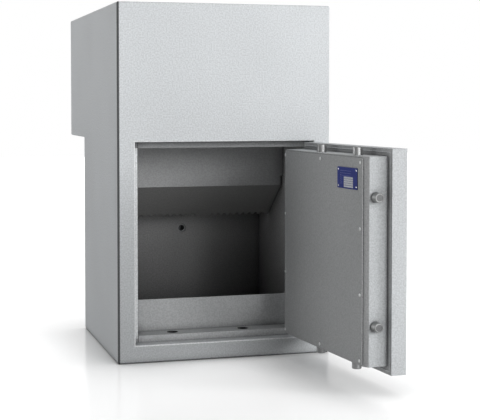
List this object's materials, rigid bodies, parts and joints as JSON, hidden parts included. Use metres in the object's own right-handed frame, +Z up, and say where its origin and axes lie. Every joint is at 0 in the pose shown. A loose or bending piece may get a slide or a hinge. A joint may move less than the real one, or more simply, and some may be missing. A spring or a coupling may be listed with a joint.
{
  "type": "drop safe with deposit drawer",
  "caption": "Steel drop safe: a bolted door opens the vault below, and a lockable drawer in the rear overhang drops deposits through a trap, behind a baffle and a toothed plate.",
  "frame": {"origin": "centre of the lower section's underside, on the floor", "axes": "+Z up, the door's front face towards -Y, the overhang with the deposit drawer towards +Y, the hinges on the +X side"},
  "size_m": [0.6205, 1.4303, 0.97],
  "materials": {
    "grey_paint": "light grey powder coat with a fine orange-peel grain",
    "inner_paint": "grey powder coat with a fine orange-peel grain",
    "cover_paint": "grey powder coat with a fine orange-peel grain",
    "zinc_steel": "bright zinc-plated steel",
    "bare_steel": "satin steel sheet and bar",
    "chrome_trim": "polished chrome",
    "brass_lock": "machined brass",
    "blue_plate": "blank blue enamelled plate with bare rivets"
  },
  "bodies": {
    "safe": {"body_shell": "grey_paint", "door_frame": "grey_paint", "retaining_lip": "inner_paint", "baffle_plate": "inner_paint", "toothed_plate": "inner_paint", "drawer_sleeve": "bare_steel", "sleeve_support": "inner_paint", "chute_plate": "inner_paint", "drawer_rail_left": "zinc_steel", "drawer_rail_right": "zinc_steel", "trap_ear_left": "zinc_steel", "trap_ear_right": "zinc_steel", "trap_rod": "zinc_steel", "upper_hinge_leaf": "grey_paint", "lower_hinge_leaf": "grey_paint", "upper_hinge_pin": "bare_steel", "lower_hinge_pin": "bare_steel"},
    "door": {"door_leaf": "grey_paint", "bolt_box": "grey_paint", "cover_plate": "cover_paint", "rating_plate": "blue_plate", "cover_screw_1": "zinc_steel", "cover_screw_2": "zinc_steel", "cover_screw_3": "zinc_steel", "cover_screw_4": "zinc_steel", "cover_screw_5": "zinc_steel", "cover_screw_6": "zinc_steel", "cover_screw_7": "zinc_steel", "cover_screw_8": "zinc_steel", "cover_screw_9": "zinc_steel", "cover_screw_10": "zinc_steel", "upper_hinge_strap": "grey_paint", "lower_hinge_strap": "grey_paint", "handle_rose": "chrome_trim", "key_rose": "chrome_trim", "spindle_bush": "brass_lock", "lock_case": "bare_steel"},
    "handle": {"door_handle": "chrome_trim", "handle_spindle": "bare_steel", "drive_disc": "zinc_steel"},
    "side_bolts": {"side_carriage": "zinc_steel", "side_bolt_upper": "zinc_steel", "side_bolt_lower": "zinc_steel"},
    "top_bolts": {"top_carriage": "zinc_steel", "top_bolt_inner": "zinc_steel", "top_bolt_outer": "zinc_steel"},
    "bottom_bolts": {"bottom_carriage": "zinc_steel", "bottom_bolt_inner": "zinc_steel", "bottom_bolt_outer": "zinc_steel"},
    "key": {"key_plug": "brass_lock"},
    "lock_bolt_body": {"lock_bolt": "brass_lock"},
    "drawer": {"drawer_front": "grey_paint", "drawer_tray": "bare_steel", "drawer_slide_left": "zinc_steel", "drawer_slide_right": "zinc_steel", "drawer_pull": "chrome_trim"},
    "drawer_lock": {"drawer_lock_barrel": "chrome_trim", "drawer_lock_cam": "zinc_steel"},
    "trap": {"deposit_trap": "bare_steel"}
  },
  "joints": [
    {"name": "door_swing", "type": "hinge", "parent": "safe", "child": "door", "pos_m": [0.267, -0.295, 0.32], "axis": [0, 0, 1], "range_deg": [-95.3, 74.7]},
    {"name": "handle_turn", "type": "hinge", "parent": "door", "child": "handle", "pos_m": [0.27873, -0.5947, 0.32275], "axis": [0.9957, 0.0924, 0], "range_deg": [-60, 0]},
    {"name": "side_bolt_slide", "type": "slide", "parent": "door", "child": "side_bolts", "axis": [-0.0924, 0.9957, 0], "range_m": [0, 0.022]},
    {"name": "top_bolt_slide", "type": "slide", "parent": "door", "child": "top_bolts", "axis": [0, 0, -1], "range_m": [0, 0.022]},
    {"name": "bottom_bolt_slide", "type": "slide", "parent": "door", "child": "bottom_bolts", "axis": [0, 0, 1], "range_m": [0, 0.022]},
    {"name": "key_turn", "type": "hinge", "parent": "door", "child": "key", "pos_m": [0.26303, -0.42542, 0.34475], "axis": [0.9957, 0.0924, 0], "range_deg": [0, 90]},
    {"name": "lock_bolt_slide", "type": "slide", "parent": "door", "child": "lock_bolt_body", "axis": [0.0924, -0.9957, 0], "range_m": [0, 0.012]},
    {"name": "drawer_slide", "type": "slide", "parent": "safe", "child": "drawer", "axis": [0, 1, 0], "range_m": [0, 0.2]},
    {"name": "drawer_lock_turn", "type": "hinge", "parent": "drawer", "child": "drawer_lock", "pos_m": [0, 0.555, 0.8687], "axis": [0, 1, 0], "range_deg": [-90, 0]},
    {"name": "trap_swing", "type": "hinge", "parent": "safe", "child": "trap", "pos_m": [0, 0.267, 0.8887], "axis": [1, 0, 0], "range_deg": [0, 85]}
  ],
  "couplings": [
    {"joint": "side_bolt_slide", "follows": "handle_turn", "m_per_rad": -0.021},
    {"joint": "top_bolt_slide", "follows": "handle_turn", "m_per_rad": -0.021},
    {"joint": "bottom_bolt_slide", "follows": "handle_turn", "m_per_rad": -0.021},
    {"joint": "lock_bolt_slide", "follows": "key_turn", "m_per_rad": 0.0076},
    {"joint": "trap_swing", "follows": "drawer_slide", "rad_per_m": 7.4}
  ]
}
